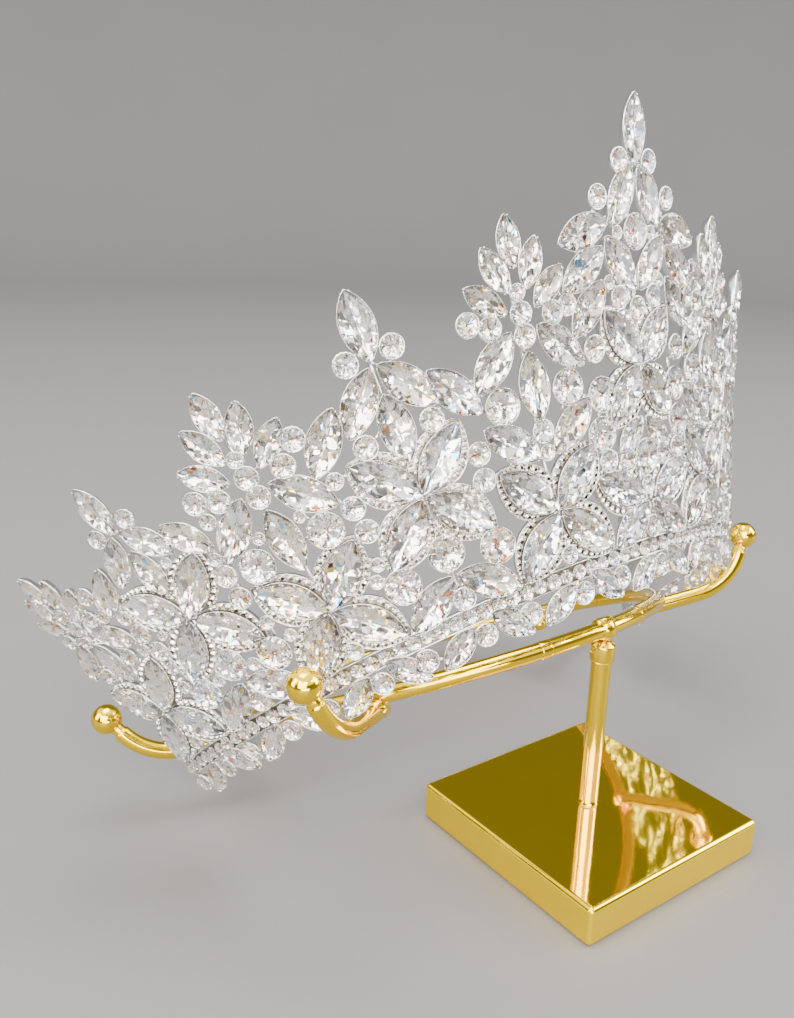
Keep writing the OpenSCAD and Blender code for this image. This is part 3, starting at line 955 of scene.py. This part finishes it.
def band_angles(steps=150):
    return [-BAND_END + 2 * BAND_END * i / steps for i in range(steps + 1)]


def band_rails():
    """Two fine rails along the band's edges."""
    return [sweep("rail", [on_wall(a, s) @ Vector((0, 0, 0.35)) for a in band_angles()], RAIL_R, 8)
            for s in (BAND_LOW + 0.1, BAND_HIGH - 0.1)]


def band_strip():
    """The band's backing strip. Its front has the seat's matt silver, darkened with painted shade between
    the stones.
    """
    corners = ((BAND_LOW, BACK + 0.2), (BAND_HIGH, BACK + 0.2), (BAND_HIGH, 0.0), (BAND_LOW, 0.0))
    verts, loops, walls = stacked([[tuple(on_wall(a, s) @ Vector((0, 0, z))) for s, z in corners]
                                   for a in band_angles()])
    strip = mesh_from("strip", verts, walls + [loops[0], loops[-1]])
    # the front faces get the seat's darker silver, painted shade between the stones
    for face in list(strip.polygons)[2:len(walls):4]:
        face.material_index = 1
    return strip


def spine_wires():
    """The wire up the back of each column."""
    meshes = []
    for number, side in columns():
        path = [on_wall(-side * number * PITCH, SPINE_TOPS[number] * i / 14) @ Vector((0, 0, BACK - 0.15))
                for i in range(15)]
        meshes.append(sweep("spine", path, SPINE_R, 8))
    return meshes


def link_wires():
    """Short soldered links from each setting to its three nearest neighbours, where a gap is left."""
    rims = [(place[0].to_translation(), loop) for place, loop in zip(PLACES, rim_loops(PLACES, -0.45))]
    meshes, done = [], set()
    for i, (centre, rim) in enumerate(rims):
        near = []
        for j, (other, far_rim) in enumerate(rims):
            if i != j and (centre - other).length <= LINK_REACH:
                near.append((min(((a - b).length, tuple(a), tuple(b)) for a in rim for b in far_rim), j))
        near.sort()
        for (far, a, b), j in near[:3]:
            if LINK_LEAST < far < LINK_MOST and (i < j or (i, j) not in done):
                done.add((j, i))
                a, b = Vector(a), Vector(b)
                along = (b - a).normalized() * 0.5
                meshes.append(sweep("link", [a - along, (a + b) / 2, b + along], LINK_R, 8))
    return meshes


def build_frame():
    """The soldered silver frame: the petals' settings and seats, the band's strip, and in one piece all
    the other settings with the wires."""
    petals, *others = [settings_of(kind) for kind in PIECES]
    finish_piece(make_object("band_strip", band_strip(), SILVER, SHADED_SEAT), "frame", "crown_frame")
    petals.name = "petal_settings"
    finish_piece(petals, "frame", "crown_frame")
    seats = set_pieces("petal_seats", petal_plate(), places_of(PETAL), SHADED_SEAT, SILVER)
    finish_piece(seats, "frame", "crown_frame")
    cups = [item.data.copy() for item in others]
    whole = joined("crown_settings", *cups, *band_rails(), *spine_wires(), *link_wires())
    for item in others:
        discard(item)
    finish_piece(make_object("crown_settings", whole, SILVER), "frame", "crown_frame")


def build_chips():
    """The band's row of round stones, and the chips of the petals' pave borders."""
    stone = cut_stone("cut_chip", BAND_STONE_D, BAND_STONE_D, 0.65, 0.5, False, 0.55, 0.5)
    end, count = BAND_END - 0.9, BAND_STONES
    places = [(on_wall(-end + 2 * end * k / (count - 1), -1.0) @ shift(0, 0, 0.25),
               1.0 + 0.08 * math.sin(k * 2.4)) for k in range(count)]
    finish_piece(set_pieces("band_crystals", stone, places, CRYSTAL, FOIL, 5), "dots")
    chip = cut_stone("cut_pave", CHIP_D, CHIP_D, 0.45, 0.4, False, 0.16, 0.5, True)
    chips = border_chips()
    rng = random.Random(4)
    places = []
    for m, size in places_of(PETAL):
        for _, x, y, wide in chips:
            spot = m @ shift(x * size, y * size, BORDER_FLOOR) @ turn("Z", rng.uniform(0, 60))
            places.append((spot, size * wide / CHIP_D * rng.uniform(0.95, 1.03)))
    finish_piece(set_pieces("pave_crystals", chip, places, CHIP, CHIP, 3), "petals")


# -------- room, light and camera, in metres
def build_floor():
    """A pale floor that sweeps up at its far edge, all round."""
    flat, sweep_r, top, sides = 1.5, 0.6, 1.1, 96
    profile = [(0.02, 0.0), (flat, 0.0)]
    for i in range(1, 13):
        a = PI / 2 * i / 12
        profile.append((flat + sweep_r * math.sin(a), sweep_r * (1 - math.cos(a))))
    profile.append((flat + sweep_r, top))
    # a hair below zero, so that it never fights with the base's underside
    verts, loops, walls = stacked([circle(r, z - 0.00005, sides) for r, z in profile])
    mesh = bpy.data.meshes.new("floor")
    mesh.from_pydata(verts, [], walls + [loops[0]])
    for face in mesh.polygons:
        face.use_smooth = True
    if mesh.polygons[0].normal.z < 0:
        mesh.flip_normals()
    material, tree, shader = new_material("painted_floor_pale")
    where = add(tree, "ShaderNodeTexCoord").outputs["Object"]
    mottle = add(tree, "ShaderNodeTexNoise", {"Vector": where, "Scale": per_mm(0.006), "Detail": 4.0})
    tone = add(tree, "ShaderNodeMix", {0: mottle, 6: "#686664", 7: "#6D6B69"}, data_type="RGBA")
    fill(tree, shader, {"Base Color": tone.outputs[2], "Roughness": 0.6})
    make_object("floor", mesh, material)


def build_lights():
    """Soft rectangles turned to the middle of the crown, unseen by the camera: large ones, a low one for
    the undersides, and three small ones that make the stones glint."""
    for name, place, width, height, power, colour in (
            ("front_soft", (-0.95, -0.85, 0.75), 1.3, 1.0, 43.0, "#FFFCF5"),
            ("left_soft", (-1.1, 0.35, 0.6), 0.5, 0.9, 14.0, "#FFFFFF"),
            ("right_soft", (0.95, -0.55, 0.65), 0.5, 0.8, 20.0, "#F9FAFF"),
            ("low_soft", (-0.55, -0.95, 0.12), 0.9, 0.16, 7.0, "#FFFFFF"),
            ("top_soft", (-0.05, 0.2, 1.25), 0.9, 0.6, 20.0, "#FFFFFF"),
            ("glint_a", (-0.35, -0.95, 1.0), 0.07, 0.07, 3.2, "#FFFFFF"),
            ("glint_b", (-0.95, -0.25, 0.95), 0.07, 0.07, 3.2, "#FFFFFF"),
            ("glint_c", (0.45, -0.8, 0.85), 0.07, 0.07, 3.2, "#FFFFFF")):
        data = bpy.data.lights.new(name, "AREA")
        data.shape = "RECTANGLE"
        data.size, data.size_y = width, height
        data.energy = power
        data.color = linear(colour)[:3]
        item = link(bpy.data.objects.new(name, data))
        item.location = place
        item.visible_camera = False
        aim = Vector((0.0, 0.03, 0.09)) - item.location
        item.rotation_euler = aim.to_track_quat("-Z", "Y").to_euler()


def build_world():
    """An even pale room. Its far side is dim, as behind a black curtain, so that the polished base has
    something dark to mirror."""
    world = bpy.data.worlds.new("studio")
    bpy.context.scene.world = world
    world.use_nodes = True
    tree = world.node_tree
    tree.nodes.clear()
    where = add(tree, "ShaderNodeTexCoord").outputs["Generated"]
    height = add(tree, "ShaderNodeSeparateXYZ", {0: where})
    sky = add(tree, "ShaderNodeValToRGB", {0: height.outputs[2]},
              ramp=("LINEAR", [(0.0, "#C4C6CA"), (1.0, "#FFFFFF")]))
    behind = add(tree, "ShaderNodeVectorMath", {0: where, 1: (0.52, 0.70, 0.49)}, operation="DOT_PRODUCT")
    dim = add(tree, "ShaderNodeMapRange", {
        "Value": behind.outputs["Value"], "From Min": 0.62, "From Max": 0.88, "To Min": 2.5, "To Max": 0.3},
              interpolation_type="SMOOTHSTEP")
    light = add(tree, "ShaderNodeBackground", {"Color": sky, "Strength": dim})
    add(tree, "ShaderNodeOutputWorld", {"Surface": light})


def build_camera():
    """The photo's viewpoint: turned to the right of +Y, tipped down, rolled, and with its focal length
    in pixels of the frame's width."""
    yaw, pitch, roll, focal_px, frame_px = 36.65, 17.71, -1.69, 1003, 794
    data = bpy.data.cameras.new("camera")
    data.sensor_fit = "HORIZONTAL"
    data.sensor_width = 36.0
    data.lens = 36.0 * focal_px / frame_px
    data.clip_start = 0.005
    item = link(bpy.data.objects.new("camera", data))
    item.matrix_world = (shift(-0.1752, -0.1493, 0.1593) @ turn("Z", -yaw) @ turn("X", 90 - pitch)
                         @ turn("Z", -roll))
    bpy.context.scene.camera = item


build_base()
build_post()
build_cradle()
build_crystals()
build_frame()
build_chips()
build_floor()
build_lights()
build_world()
build_camera()
